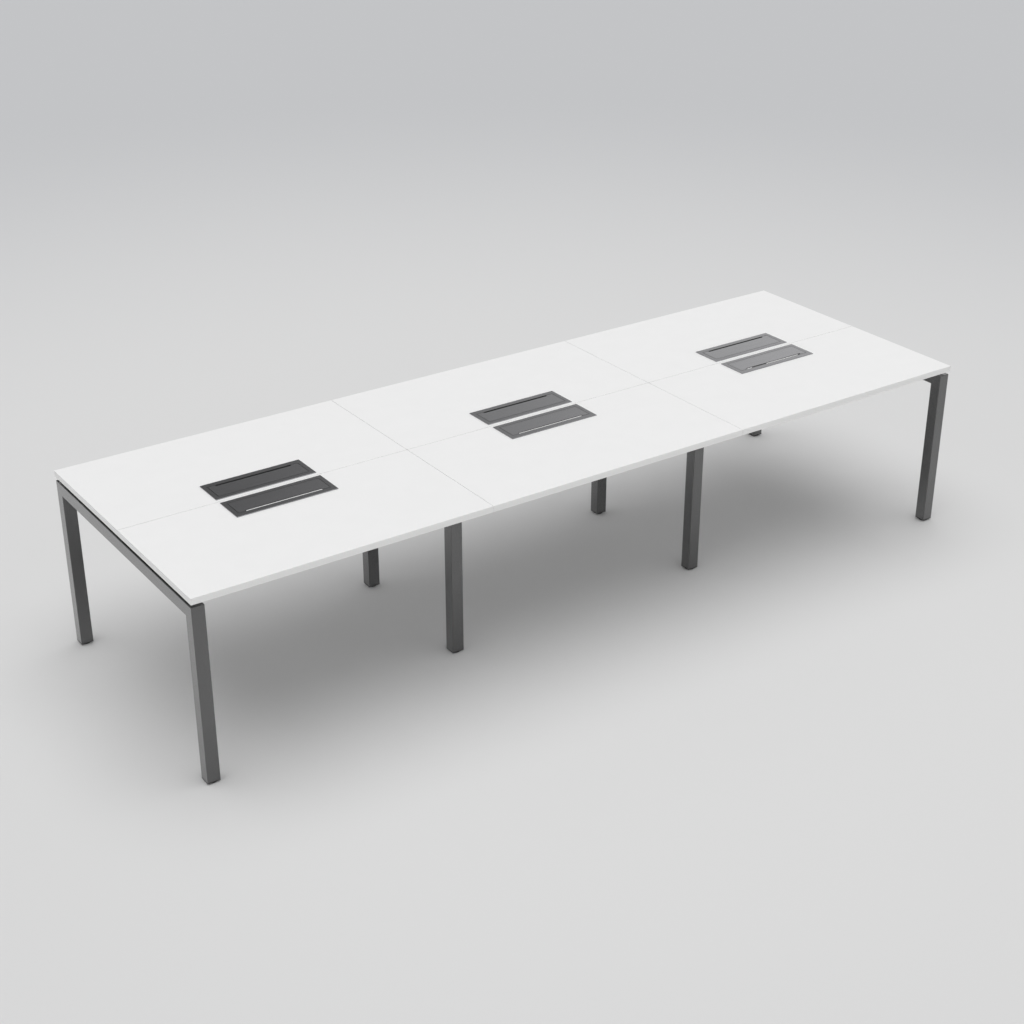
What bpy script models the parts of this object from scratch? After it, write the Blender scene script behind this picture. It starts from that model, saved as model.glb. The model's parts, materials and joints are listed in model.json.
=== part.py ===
"""Six-person bench desk.

Two rows of three worktops stand on four welded portal frames of square steel tube. Black spacer
strips lift the boards off the frames' rails, steel beams tie the frames together, and every leg
ends in a cap with a levelling foot. Each worktop has a cable flap beside the desk's centre line:
a bezel let into the board, and a lid on a hinge pin with a cable slot in its user's edge.

Metres, +Z up. The origin is on the floor under the desk's centre, +X runs along the desk's length
and +Y from the front row to the back row.
"""

import math

import bmesh
import bpy
from mathutils import Matrix

# Whole desk
DESK_LENGTH = 3.600
DESK_DEPTH = 1.200
DESK_HEIGHT = 0.748
BAY_NAMES = ("left", "middle", "right")
ROW_SIDES = {"front": -1, "back": 1}
FRAME_NAMES = ("end_left", "mid_left", "mid_right", "end_right")

# Gaps between pieces
CLEARANCE = 0.0003
SEAM_GAP = 0.0006
LID_GAP = 0.0012

# Worktops
WORKTOP_THICKNESS = 0.025
WORKTOP_EDGE_ROUND = 0.001

# Portal frames
TUBE_SIZE = 0.050
TUBE_WALL = 0.002
TUBE_CORNER = 0.002
END_FRAME_INSET_X = 0.001
END_FRAME_INSET_Y = 0.006
MID_FRAME_INSET_Y = 0.252

# Spacer strips on the rails
SPACER_THICKNESS = 0.013
SPACER_WIDTH = 0.030
SPACER_SETBACK = 0.060
SPACER_ROUND = 0.002

# Leg end caps
CAP_FLANGE = 0.003
CAP_PLUG_LENGTH = 0.025

# Levelling feet
PAD_DIAMETER = 0.040
PAD_HEIGHT = 0.006
PAD_ROUND = 0.002
STEM_DIAMETER = 0.010
STEM_LENGTH = 0.045
STEM_CHAMFER = 0.001

# Beams between the frames
BEAM_WIDTH = 0.050
BEAM_HEIGHT = 0.030
BEAM_WALL = 0.002
BEAM_CORNER = 0.003
BEAM_OFFSET_Y = 0.215
PLATE_THICKNESS = 0.004
PLATE_MARGIN = 0.016

# Cable flap bezels
FLAP_LENGTH = 0.416
FLAP_WIDTH = 0.140
FLAP_SETBACK = 0.015
FLANGE_THICKNESS = 0.0027
FLANGE_CORNER = 0.0015
FLANGE_EDGE_ROUND = 0.0008
BORDER_END = 0.0187
BORDER_HINGE = 0.0201
BORDER_USER = 0.0255
LEDGE_WIDTH = 0.003
SKIRT_WALL = 0.002
SKIRT_DEPTH = 0.0207
PIN_SOCKET_DEPTH = 0.0015

# Cable flap lids and hinge pins
LID_THICKNESS = 0.002
HINGE_DROP = 0.0022
BARREL_DIAMETER = 0.006
PIN_DIAMETER = 0.002
SLOT_LENGTH = 0.314
SLOT_WIDTH = 0.009
SLOT_CORNER = 0.002

# Facets of round shapes
ROUND_STEPS = 24
ROUND_SEGMENTS = 3
FINE_SEGMENTS = 2

# Least angle, in radians, at which two faces meet in a corner
FLAT_ANGLE = 0.01

# How far a cutter runs past the face it cuts through
CUT_OVERRUN = 0.010

# Spacing of the worktops along the desk
bay_pitch = (DESK_LENGTH + SEAM_GAP) / len(BAY_NAMES)

# Heights of the stacked pieces
worktop_bottom = DESK_HEIGHT - WORKTOP_THICKNESS
spacer_top = worktop_bottom - CLEARANCE
spacer_bottom = spacer_top - SPACER_THICKNESS
rail_top = spacer_bottom - CLEARANCE
rail_bottom = rail_top - TUBE_SIZE
cap_bottom = PAD_HEIGHT + CLEARANCE
cap_flange_top = cap_bottom + CAP_FLANGE
leg_bottom = cap_flange_top + CLEARANCE
flange_bottom = DESK_HEIGHT + CLEARANCE
flange_top = flange_bottom + FLANGE_THICKNESS

# Cable flap in plan: x is measured from the flap's centre, y from the desk's centre line
opening_half = FLAP_LENGTH / 2 - BORDER_END
opening_hinge = FLAP_SETBACK + BORDER_HINGE
opening_user = FLAP_SETBACK + FLAP_WIDTH - BORDER_USER
well_half = opening_half - LEDGE_WIDTH
skirt_half = opening_half + SKIRT_WALL
skirt_hinge = opening_hinge - SKIRT_WALL
skirt_user = opening_user + SKIRT_WALL
lid_half = opening_half - LID_GAP
lid_user = opening_user - LID_GAP
hinge_y = opening_hinge + LID_GAP + BARREL_DIAMETER / 2
hinge_z = flange_top - HINGE_DROP
lid_bottom = flange_top - LID_THICKNESS
pin_half = opening_half + PIN_SOCKET_DEPTH - CLEARANCE

# A flat outline lies in X and Y and is extruded along Z: this turns it to Y and Z, extruded along X
OUTLINE_TO_YZ = Matrix(((0, 0, 1, 0), (1, 0, 0, 0), (0, 1, 0, 0), (0, 0, 0, 1)))


def clear_scene():
    """Remove every object of the start-up scene."""
    for obj in list(bpy.data.objects):
        bpy.data.objects.remove(obj, do_unlink=True)


def new_collection(name):
    """Add a collection to the scene."""
    collection = bpy.data.collections.new(name)
    bpy.context.scene.collection.children.link(collection)
    return collection


def new_material(name, colour, roughness, metallic):
    """Make a plain Principled material from a linear colour."""
    material = bpy.data.materials.new(name)
    material.use_nodes = True
    shader = material.node_tree.nodes["Principled BSDF"]
    shader.inputs["Base Color"].default_value = (*colour, 1.0)
    shader.inputs["Roughness"].default_value = roughness
    shader.inputs["Metallic"].default_value = metallic
    return material


def mesh_from(name, bm):
    """Turn a finished bmesh into a mesh with its faces pointing out."""
    bmesh.ops.recalc_face_normals(bm, faces=bm.faces)
    mesh = bpy.data.meshes.new(name)
    bm.to_mesh(mesh)
    bm.free()
    return mesh


def add_part(name, mesh, origin, material):
    """Place a mesh, modelled about its origin, as one part of the desk."""
    obj = bpy.data.objects.new(name, mesh)
    obj.location = origin
    obj.parent = desk_root
    mesh.materials.append(material)
    parts.objects.link(obj)
    return obj


def add_cutter(name, mesh, origin):
    """Place a mesh that only cuts or joins other parts."""
    obj = bpy.data.objects.new(name, mesh)
    obj.location = origin
    obj.display_type = "WIRE"
    obj.hide_render = True
    cutters.objects.link(obj)
    return obj


def box_mesh(name, low, high):
    """Box between two corners."""
    size = [top - bottom for bottom, top in zip(low, high)]
    centre = [(top + bottom) / 2 for bottom, top in zip(low, high)]
    bm = bmesh.new()
    bmesh.ops.create_cube(bm, size=1.0, matrix=Matrix.Translation(centre) @ Matrix.Diagonal((*size, 1.0)))
    return mesh_from(name, bm)


def rod_mesh(name, diameter, half_length, axis):
    """Round rod along X or Z, centred on its origin."""
    turn = Matrix.Rotation(math.pi / 2, 4, "Y") if axis == "X" else Matrix.Identity(4)
    bm = bmesh.new()
    bmesh.ops.create_cone(
        bm,
        cap_ends=True,
        segments=ROUND_STEPS,
        radius1=diameter / 2,
        radius2=diameter / 2,
        depth=2 * half_length,
        matrix=turn,
    )
    return mesh_from(name, bm)


def outline_mesh(name, outlines, half_thickness):
    """Extrude closed outlines in (y, z) along X, with the inner ones as holes."""
    curve = bpy.data.curves.new(name, "CURVE")
    curve.dimensions = "2D"
    curve.fill_mode = "BOTH"
    curve.extrude = half_thickness
    for outline in outlines:
        spline = curve.splines.new("POLY")
        spline.points.add(len(outline) - 1)
        spline.use_cyclic_u = True
        for point, (y, z) in zip(spline.points, outline):
            point.co = (y, z, 0.0, 1.0)
    holder = bpy.data.objects.new(name, curve)
    cutters.objects.link(holder)
    flat = bpy.data.meshes.new_from_object(holder.evaluated_get(bpy.context.evaluated_depsgraph_get()))
    bpy.data.objects.remove(holder)
    bm = bmesh.new()
    bm.from_mesh(flat)
    bpy.data.meshes.remove(flat)
    bmesh.ops.remove_doubles(bm, verts=bm.verts, dist=0.00001)
    bmesh.ops.dissolve_limit(bm, angle_limit=FLAT_ANGLE, verts=bm.verts, edges=bm.edges)
    bmesh.ops.transform(bm, matrix=OUTLINE_TO_YZ, verts=bm.verts)
    return mesh_from(name, bm)


def round_edges(obj, radius, segments, chosen):
    """Round the outer corners whose two end points pass the test, with a Bevel modifier."""
    bm = bmesh.new()
    bm.from_mesh(obj.data)
    weight = bm.edges.layers.float.new("bevel_weight_edge")
    for edge in bm.edges:
        corner = edge.calc_face_angle_signed(0.0) > FLAT_ANGLE
        edge[weight] = 1.0 if corner and chosen(edge.verts[0].co, edge.verts[1].co) else 0.0
    bm.to_mesh(obj.data)
    bm.free()
    bevel = obj.modifiers.new("rounded_edges", "BEVEL")
    bevel.limit_method = "WEIGHT"
    bevel.width = radius
    bevel.segments = segments


def ease_top(obj, radius, segments, level):
    """Round the outline of a part's upper face, above the given level, with a Bevel modifier."""
    group = obj.vertex_groups.new(name="upper_face")
    group.add([v.index for v in obj.data.vertices if v.co.z > level], 1.0, "REPLACE")
    bevel = obj.modifiers.new("eased_top", "BEVEL")
    bevel.limit_method = "VGROUP"
    bevel.vertex_group = group.name
    bevel.width = radius
    bevel.segments = segments


def boolean(obj, operation, other):
    """Cut another object out of this one, or join it to this one."""
    modifier = obj.modifiers.new(other.name, "BOOLEAN")
    modifier.operation = operation
    modifier.solver = "EXACT"
    modifier.object = other


def shade_round(obj):
    """Shade a round part smooth, with its corners sharp."""
    obj.data.shade_smooth()
    obj.data.set_sharp_from_angle(angle=math.radians(40))


def runs_along(axis, a, b):
    """True for an edge that is parallel to one axis (0, 1 or 2)."""
    return all(abs(a[i] - b[i]) < CLEARANCE / 10 for i in range(3) if i != axis)


def bay_centres():
    """Centre of each bay along X, by bay name."""
    middle = (len(BAY_NAMES) - 1) / 2
    return {name: (i - middle) * bay_pitch for i, name in enumerate(BAY_NAMES)}


def frame_places():
    """Each frame's centre along X and half of its outer depth along Y, by frame name."""
    end_x = DESK_LENGTH / 2 - END_FRAME_INSET_X - TUBE_SIZE / 2
    end_half = DESK_DEPTH / 2 - END_FRAME_INSET_Y
    mid_half = DESK_DEPTH / 2 - MID_FRAME_INSET_Y
    places = {}
    for i, name in enumerate(FRAME_NAMES):
        if i in (0, len(FRAME_NAMES) - 1):
            places[name] = (math.copysign(end_x, i - 0.5), end_half)
        else:
            places[name] = ((i - len(BAY_NAMES) / 2) * bay_pitch, mid_half)
    return places


def row_box(side, x_half, y_near, y_far, z_low, z_high):
    """Corners of a box on one side of the centre line, from its distances to that line."""
    y_low, y_high = sorted((side * y_near, side * y_far))
    return (-x_half, y_low, z_low), (x_half, y_high, z_high)


def make_worktop(row, side, bay, centre_x):
    """Board with rounded edging and a cut-out for its cable flap."""
    origin = (centre_x, 0.0, 0.0)
    half = (bay_pitch - SEAM_GAP) / 2
    low, high = row_box(side, half, SEAM_GAP / 2, DESK_DEPTH / 2, worktop_bottom, DESK_HEIGHT)
    board = add_part(f"worktop_{row}_{bay}", box_mesh("worktop", low, high), origin, white_melamine)
    round_edges(board, WORKTOP_EDGE_ROUND, FINE_SEGMENTS, lambda a, b: True)
    low, high = row_box(
        side,
        skirt_half + CLEARANCE,
        skirt_hinge - CLEARANCE,
        skirt_user + CLEARANCE,
        worktop_bottom - CUT_OVERRUN,
        DESK_HEIGHT + CUT_OVERRUN,
    )
    boolean(board, "DIFFERENCE", add_cutter(f"cut_out_{row}_{bay}", box_mesh("cut_out", low, high), origin))


def portal_outline(half_depth, inset, foot_z):
    """Goal-post outline in (y, z): the tube's outside, or its bore where inset is the wall."""
    outer = half_depth - inset
    inner = half_depth - TUBE_SIZE + inset
    top = rail_top - inset
    under = rail_bottom + inset
    return [
        (-outer, foot_z),
        (-outer, top),
        (outer, top),
        (outer, foot_z),
        (inner, foot_z),
        (inner, under),
        (-inner, under),
        (-inner, foot_z),
    ]


def make_frame(name, x, half_depth):
    """Two legs and a rail of square tube, mitred and welded, open at the foot of each leg."""
    origin = (x, 0.0, 0.0)
    outside = outline_mesh("portal", [portal_outline(half_depth, 0.0, leg_bottom)], TUBE_SIZE / 2)
    frame = add_part(f"frame_{name}", outside, origin, graphite_steel)
    foot_limit = leg_bottom + CLEARANCE
    round_edges(frame, TUBE_CORNER, FINE_SEGMENTS, lambda a, b: max(a.z, b.z) > foot_limit)
    bore = outline_mesh(
        "portal_bore",
        [portal_outline(half_depth, TUBE_WALL, leg_bottom - CUT_OVERRUN)],
        TUBE_SIZE / 2 - TUBE_WALL,
    )
    boolean(frame, "DIFFERENCE", add_cutter(f"bore_{name}", bore, origin))


def make_spacer_strip(name, x, half_depth):
    """Moulded strip that carries the boards, set back on its rail so that a shadow gap shows."""
    half_width = SPACER_WIDTH / 2
    half_length = half_depth - SPACER_SETBACK
    low = (-half_width, -half_length, spacer_bottom)
    high = (half_width, half_length, spacer_top)
    strip = add_part(f"spacer_strip_{name}", box_mesh("spacer", low, high), (x, 0.0, 0.0), black_plastic)
    middle = (spacer_bottom + spacer_top) / 2
    round_edges(strip, SPACER_ROUND, FINE_SEGMENTS, lambda a, b: min(a.z, b.z) > middle)


def make_leg_cap(name, x, y):
    """Cap on a leg's open end: a flange under the tube, a plug inside it and a hole for the stem."""
    origin = (x, y, 0.0)
    half = TUBE_SIZE / 2
    flange = box_mesh("cap_flange", (-half, -half, cap_bottom), (half, half, cap_flange_top))
    cap = add_part(f"leg_cap_{name}", flange, origin, black_plastic)
    round_edges(cap, TUBE_CORNER, FINE_SEGMENTS, lambda a, b: runs_along(2, a, b))
    plug_half = half - TUBE_WALL - CLEARANCE
    plug_low = (-plug_half, -plug_half, cap_bottom + CAP_FLANGE / 2)
    plug_high = (plug_half, plug_half, leg_bottom + CAP_PLUG_LENGTH)
    boolean(cap, "UNION", add_cutter(f"plug_{name}", box_mesh("cap_plug", plug_low, plug_high), origin))
    cap_top = leg_bottom + CAP_PLUG_LENGTH
    hole = rod_mesh("stem_hole", STEM_DIAMETER + 2 * CLEARANCE, cap_top / 2 + CUT_OVERRUN, "Z")
    boolean(cap, "DIFFERENCE", add_cutter(f"stem_hole_{name}", hole, (x, y, cap_top / 2)))


def make_foot(name, x, y):
    """Turned levelling foot: a round pad under the cap and a stem up through it."""
    pad = PAD_DIAMETER / 2
    stem = STEM_DIAMETER / 2
    top = PAD_HEIGHT + STEM_LENGTH
    profile = [
        (0.0, top),
        (stem - STEM_CHAMFER, top),
        (stem, top - STEM_CHAMFER),
        (stem, PAD_HEIGHT),
        (pad - PAD_ROUND, PAD_HEIGHT),
    ]
    for step in range(1, ROUND_SEGMENTS + 1):
        angle = step / ROUND_SEGMENTS * math.pi / 2
        out = pad - PAD_ROUND + PAD_ROUND * math.sin(angle)
        profile.append((out, PAD_HEIGHT - PAD_ROUND + PAD_ROUND * math.cos(angle)))
    profile.append((pad, 0.0))
    profile.append((0.0, 0.0))
    mesh = bpy.data.meshes.new("foot_profile")
    edges = [(i, i + 1) for i in range(len(profile) - 1)]
    mesh.from_pydata([(r, 0.0, z) for r, z in profile], edges, [])
    foot = add_part(f"foot_{name}", mesh, (x, y, 0.0), black_nylon)
    turn = foot.modifiers.new("turned", "SCREW")
    turn.steps = ROUND_STEPS
    turn.render_steps = ROUND_STEPS
    turn.use_merge_vertices = True
    turn.merge_threshold = CLEARANCE / 10


def make_beam(row, side, bay, x_low, x_high):
    """Rectangular tube between two rails, with a flange plate welded on each end."""
    centre_x = (x_low + x_high) / 2
    origin = (centre_x, side * BEAM_OFFSET_Y, (rail_top + rail_bottom) / 2)
    half_length = (x_high - x_low) / 2
    tube_end = half_length - PLATE_THICKNESS / 2
    half_width = BEAM_WIDTH / 2
    half_height = BEAM_HEIGHT / 2
    tube = box_mesh(
        "beam_tube",
        (-tube_end, -half_width, -half_height),
        (tube_end, half_width, half_height),
    )
    beam = add_part(f"beam_{row}_{bay}", tube, origin, graphite_steel)
    round_edges(beam, BEAM_CORNER, FINE_SEGMENTS, lambda a, b: runs_along(0, a, b))
    plate_half_width = half_width + PLATE_MARGIN
    plate_half_height = TUBE_SIZE / 2 - TUBE_CORNER
    for end in (-1, 1):
        x_near, x_far = sorted((end * half_length, end * (half_length - PLATE_THICKNESS)))
        plate = box_mesh(
            "beam_plate",
            (x_near, -plate_half_width, -plate_half_height),
            (x_far, plate_half_width, plate_half_height),
        )
        boolean(beam, "UNION", add_cutter(f"plate_{row}_{bay}_{end}", plate, origin))
    bore_end = half_length + CUT_OVERRUN
    bore_half_width = half_width - BEAM_WALL
    bore_half_height = half_height - BEAM_WALL
    bore = box_mesh(
        "beam_bore",
        (-bore_end, -bore_half_width, -bore_half_height),
        (bore_end, bore_half_width, bore_half_height),
    )
    boolean(beam, "DIFFERENCE", add_cutter(f"beam_bore_{row}_{bay}", bore, origin))


def make_bezel(row, side, bay, centre_x):
    """Flange on the board with a skirt in the cut-out, a ledge for the lid and sockets for the pin."""
    origin = (centre_x, 0.0, 0.0)
    flange_user = FLAP_SETBACK + FLAP_WIDTH
    low, high = row_box(side, FLAP_LENGTH / 2, FLAP_SETBACK, flange_user, flange_bottom, flange_top)
    bezel = add_part(f"flap_bezel_{row}_{bay}", box_mesh("flange", low, high), origin, aluminium)
    round_edges(bezel, FLANGE_CORNER, ROUND_SEGMENTS, lambda a, b: runs_along(2, a, b))
    flange_middle = (flange_bottom + flange_top) / 2
    ease_top(bezel, FLANGE_EDGE_ROUND, FINE_SEGMENTS, flange_middle)
    skirt_bottom = DESK_HEIGHT - SKIRT_DEPTH
    ledge_top = lid_bottom - CLEARANCE
    trough_user = hinge_y + BARREL_DIAMETER / 2 + LID_GAP
    above = flange_top + CUT_OVERRUN
    below = skirt_bottom - CUT_OVERRUN
    shapes = (
        ("UNION", "skirt", skirt_half, skirt_hinge, skirt_user, skirt_bottom, flange_middle),
        ("DIFFERENCE", "lid_opening", opening_half, opening_hinge, opening_user, ledge_top, above),
        ("DIFFERENCE", "cable_well", well_half, opening_hinge, opening_user, below, above),
        ("DIFFERENCE", "hinge_trough", opening_half, opening_hinge, trough_user, below, above),
    )
    for operation, shape, half, near, far, bottom, top in shapes:
        low, high = row_box(side, half, near, far, bottom, top)
        boolean(bezel, operation, add_cutter(f"{shape}_{row}_{bay}", box_mesh(shape, low, high), origin))
    sockets = rod_mesh("pin_socket", PIN_DIAMETER + 2 * CLEARANCE, opening_half + PIN_SOCKET_DEPTH, "X")
    axis_point = (centre_x, side * hinge_y, hinge_z)
    boolean(bezel, "DIFFERENCE", add_cutter(f"pin_socket_{row}_{bay}", sockets, axis_point))


def circle_points(radius):
    """Corners of a faceted circle about the hinge axis, in (y, z)."""
    angles = [2 * math.pi * step / ROUND_STEPS for step in range(ROUND_STEPS)]
    return [(radius * math.cos(angle), radius * math.sin(angle)) for angle in angles]


def lid_outline(side):
    """Section of a lid about its hinge axis: a flat plate with the hinge barrel under its edge."""
    radius = BARREL_DIAMETER / 2
    under = HINGE_DROP - LID_THICKNESS
    sweep = math.pi + math.asin(under / radius)
    outline = [(lid_user - hinge_y, under), (lid_user - hinge_y, HINGE_DROP), (-radius, HINGE_DROP)]
    for step in range(ROUND_STEPS + 1):
        angle = math.pi + sweep * step / ROUND_STEPS
        outline.append((radius * math.cos(angle), radius * math.sin(angle)))
    return [(side * y, z) for y, z in outline]


def make_lid(row, side, bay, centre_x):
    """Lid with its hinge barrel, and a notch that leaves the cable slot against the bezel."""
    origin = (centre_x, side * hinge_y, hinge_z)
    bore = circle_points(PIN_DIAMETER / 2 + CLEARANCE)
    plate = outline_mesh("lid", [lid_outline(side), bore], lid_half)
    lid = add_part(f"flap_lid_{row}_{bay}", plate, origin, aluminium)
    low, high = row_box(
        side,
        SLOT_LENGTH / 2,
        opening_user - SLOT_WIDTH - hinge_y,
        opening_user + CUT_OVERRUN - hinge_y,
        -BARREL_DIAMETER,
        BARREL_DIAMETER,
    )
    notch = add_cutter(f"slot_{row}_{bay}", box_mesh("slot", low, high), origin)
    round_edges(notch, SLOT_CORNER, ROUND_SEGMENTS, lambda a, b: runs_along(2, a, b))
    boolean(lid, "DIFFERENCE", notch)
    shade_round(lid)


def make_hinge_pin(row, side, bay, centre_x):
    """Plain pin through the lid's barrel, with its ends in the bezel's sockets."""
    pin = rod_mesh("pin", PIN_DIAMETER, pin_half, "X")
    shade_round(add_part(f"hinge_pin_{row}_{bay}", pin, (centre_x, side * hinge_y, hinge_z), bright_steel))


def build():
    """Make every piece of the desk."""
    frames = frame_places()
    for name, (x, half_depth) in frames.items():
        make_frame(name, x, half_depth)
        make_spacer_strip(name, x, half_depth)
        for row, side in ROW_SIDES.items():
            leg_y = side * (half_depth - TUBE_SIZE / 2)
            make_leg_cap(f"{name}_{row}", x, leg_y)
            make_foot(f"{name}_{row}", x, leg_y)
    beam_gap = TUBE_SIZE / 2 + CLEARANCE
    for i, (bay, centre_x) in enumerate(bay_centres().items()):
        beam_low = frames[FRAME_NAMES[i]][0] + beam_gap
        beam_high = frames[FRAME_NAMES[i + 1]][0] - beam_gap
        for row, side in ROW_SIDES.items():
            make_worktop(row, side, bay, centre_x)
            make_beam(row, side, bay, beam_low, beam_high)
            make_bezel(row, side, bay, centre_x)
            make_lid(row, side, bay, centre_x)
            make_hinge_pin(row, side, bay, centre_x)


clear_scene()
parts = new_collection("bench_desk")
cutters = new_collection("bench_desk_cutters")
desk_root = bpy.data.objects.new("bench_desk_root", None)
parts.objects.link(desk_root)
white_melamine = new_material("white_melamine_board", (0.84, 0.84, 0.83), 0.45, 0.0)
graphite_steel = new_material("graphite_powder_coat", (0.115, 0.115, 0.113), 0.55, 0.0)
black_plastic = new_material("black_moulded_plastic", (0.014, 0.014, 0.014), 0.50, 0.0)
black_nylon = new_material("black_nylon", (0.020, 0.020, 0.020), 0.60, 0.0)
aluminium = new_material("brushed_anodised_aluminium", (0.42, 0.42, 0.43), 0.35, 1.0)
bright_steel = new_material("bright_steel", (0.55, 0.55, 0.56), 0.30, 1.0)
build()
bpy.context.view_layer.update()
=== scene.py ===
"""Looks of the six-person bench desk: finishes, small fasteners, threaded feet, stage and camera.

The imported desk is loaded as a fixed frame. Its boards, tubes, strips, caps, bezels, lids and pins
keep their CAD shapes and get detailed finishes. The levelling feet are modelled again with their
rolled threads, and the bolts, welds and screws that hold the desk together are added.

Metres, +Z up, in the frame's own axes: +X along the desk, +Y from the front row to the back row.
"""

import json
import logging
import math
from collections.abc import Callable, Iterator
from contextlib import contextmanager
from dataclasses import dataclass, field
from enum import Enum
from typing import Any

import bmesh
import bpy
from bmesh.types import BMFace, BMVert
from bpy.types import Material, Node, NodeSocket, NodeTree, Object
from mathutils import Matrix, Vector

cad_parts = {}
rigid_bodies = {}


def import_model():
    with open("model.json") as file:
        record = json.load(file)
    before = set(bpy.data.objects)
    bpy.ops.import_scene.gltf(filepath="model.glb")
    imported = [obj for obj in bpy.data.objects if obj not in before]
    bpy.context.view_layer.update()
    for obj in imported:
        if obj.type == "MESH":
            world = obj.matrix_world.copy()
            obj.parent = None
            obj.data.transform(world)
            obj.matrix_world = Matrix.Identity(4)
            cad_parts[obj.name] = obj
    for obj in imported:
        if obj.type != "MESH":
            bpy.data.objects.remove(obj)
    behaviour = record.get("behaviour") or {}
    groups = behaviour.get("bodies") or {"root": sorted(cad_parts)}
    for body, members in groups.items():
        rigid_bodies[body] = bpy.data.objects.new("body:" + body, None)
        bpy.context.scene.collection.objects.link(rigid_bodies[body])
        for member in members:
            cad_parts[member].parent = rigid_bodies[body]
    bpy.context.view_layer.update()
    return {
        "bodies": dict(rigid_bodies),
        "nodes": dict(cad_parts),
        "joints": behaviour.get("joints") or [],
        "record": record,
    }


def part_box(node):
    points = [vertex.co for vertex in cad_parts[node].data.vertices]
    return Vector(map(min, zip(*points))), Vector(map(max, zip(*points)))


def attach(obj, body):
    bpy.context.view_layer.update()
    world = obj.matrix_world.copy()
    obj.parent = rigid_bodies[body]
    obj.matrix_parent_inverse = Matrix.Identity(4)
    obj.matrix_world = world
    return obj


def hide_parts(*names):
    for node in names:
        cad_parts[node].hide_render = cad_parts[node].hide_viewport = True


MM = 0.001
# Two points closer than this are one, and FINE is for cuts and merges that mustn't eat detail
SNAP = 0.01 * MM
FINE = SNAP / 10
# A face looks along an axis where its normal's share of that axis is over this
FACING = 0.9
# Places of Y and Z in a vector, and the sides of a hexagon
Y_AND_Z = (1, 2)
HEXAGON = 6
# Half the distance between the joints of two bays
BAY_HALF = 0.6001
# Most of a noise texture's values lie between these
NOISE_RANGE = {"From Min": 0.3, "From Max": 0.7}
FRAMES = ("end_left", "mid_left", "mid_right", "end_right")
ROWS = ("front", "back")
BAYS = ("left", "middle", "right")
# A node's properties and sockets by name or number, with values or with what feeds them
Settings = dict[str | int, Any]
Links = dict[str | int, Node | NodeSocket]
log = logging.getLogger("bench_desk")


class Slot(Enum):
    """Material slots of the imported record."""

    BOARD = "white_melamine"
    STEEL = "graphite_steel"
    PLASTIC = "black_plastic"
    NYLON = "black_nylon"
    ALUMINIUM = "anodised_aluminium"
    BRIGHT = "bright_steel"


class Element(Enum):
    """What a selection in edit mode picks."""

    VERTEX = "VERT"
    EDGE = "EDGE"
    FACE = "FACE"


def linear(hex_colour: str) -> tuple[float, float, float, float]:
    """Turn an sRGB hex colour into linear RGBA.

    Args:
        hex_colour: colour such as "#EDEDED".

    Returns:
        Red, green, blue and an alpha of 1.
    """
    channels = [int(hex_colour[i : i + 2], 16) / 255 for i in (1, 3, 5)]
    red, green, blue = (
        c / 12.92 if c <= 0.04045 else ((c + 0.055) / 1.055) ** 2.4 for c in channels
    )
    return red, green, blue, 1.0


def per_metre(size_mm: float) -> float:
    """Scale at which a texture's features are about this many millimetres wide."""
    return 1.0 / (size_mm * MM)


def add_node(
    tree: NodeTree, kind: str, settings: Settings | None = None, links: Links | None = None
) -> Node:
    """Add a node with its settings and links.

    Args:
        tree: node tree that gets the node.
        kind: type name of the node, after ShaderNode.
        settings: properties and input sockets, by name or number, with their values.
        links: input sockets, by name or number, with the outputs that feed them, or with nodes
            whose first output in use does.

    Returns:
        The new node.
    """
    node = tree.nodes.new("ShaderNode" + kind)
    for name, value in (settings or {}).items():
        if isinstance(name, str) and hasattr(node, name):
            setattr(node, name, value)
        else:
            node.inputs[name].default_value = value
    for name, source in (links or {}).items():
        if isinstance(source, Node):
            source = next(output for output in source.outputs if output.enabled)
        tree.links.new(source, node.inputs[name])
    return node


def new_material(name: str) -> tuple[Material, NodeTree, NodeSocket]:
    """Make a material whose tree holds nothing but its coordinates.

    Args:
        name: name of the material.

    Returns:
        The material, its node tree and the Object coordinates.
    """
    material = bpy.data.materials.new(name)
    material.use_nodes = True
    tree = material.node_tree
    tree.nodes.clear()
    return material, tree, add_node(tree, "TexCoord").outputs["Object"]


def close_tree(tree: NodeTree, settings: Settings, links: Links) -> None:
    """Add the shader and the output that end a material's tree.

    Args:
        tree: node tree of the material.
        settings: values of the shader's own sockets.
        links: outputs or nodes that feed the shader's sockets.
    """
    shader = add_node(tree, "BsdfPrincipled", settings, links)
    add_node(tree, "OutputMaterial", links={"Surface": shader})


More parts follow.
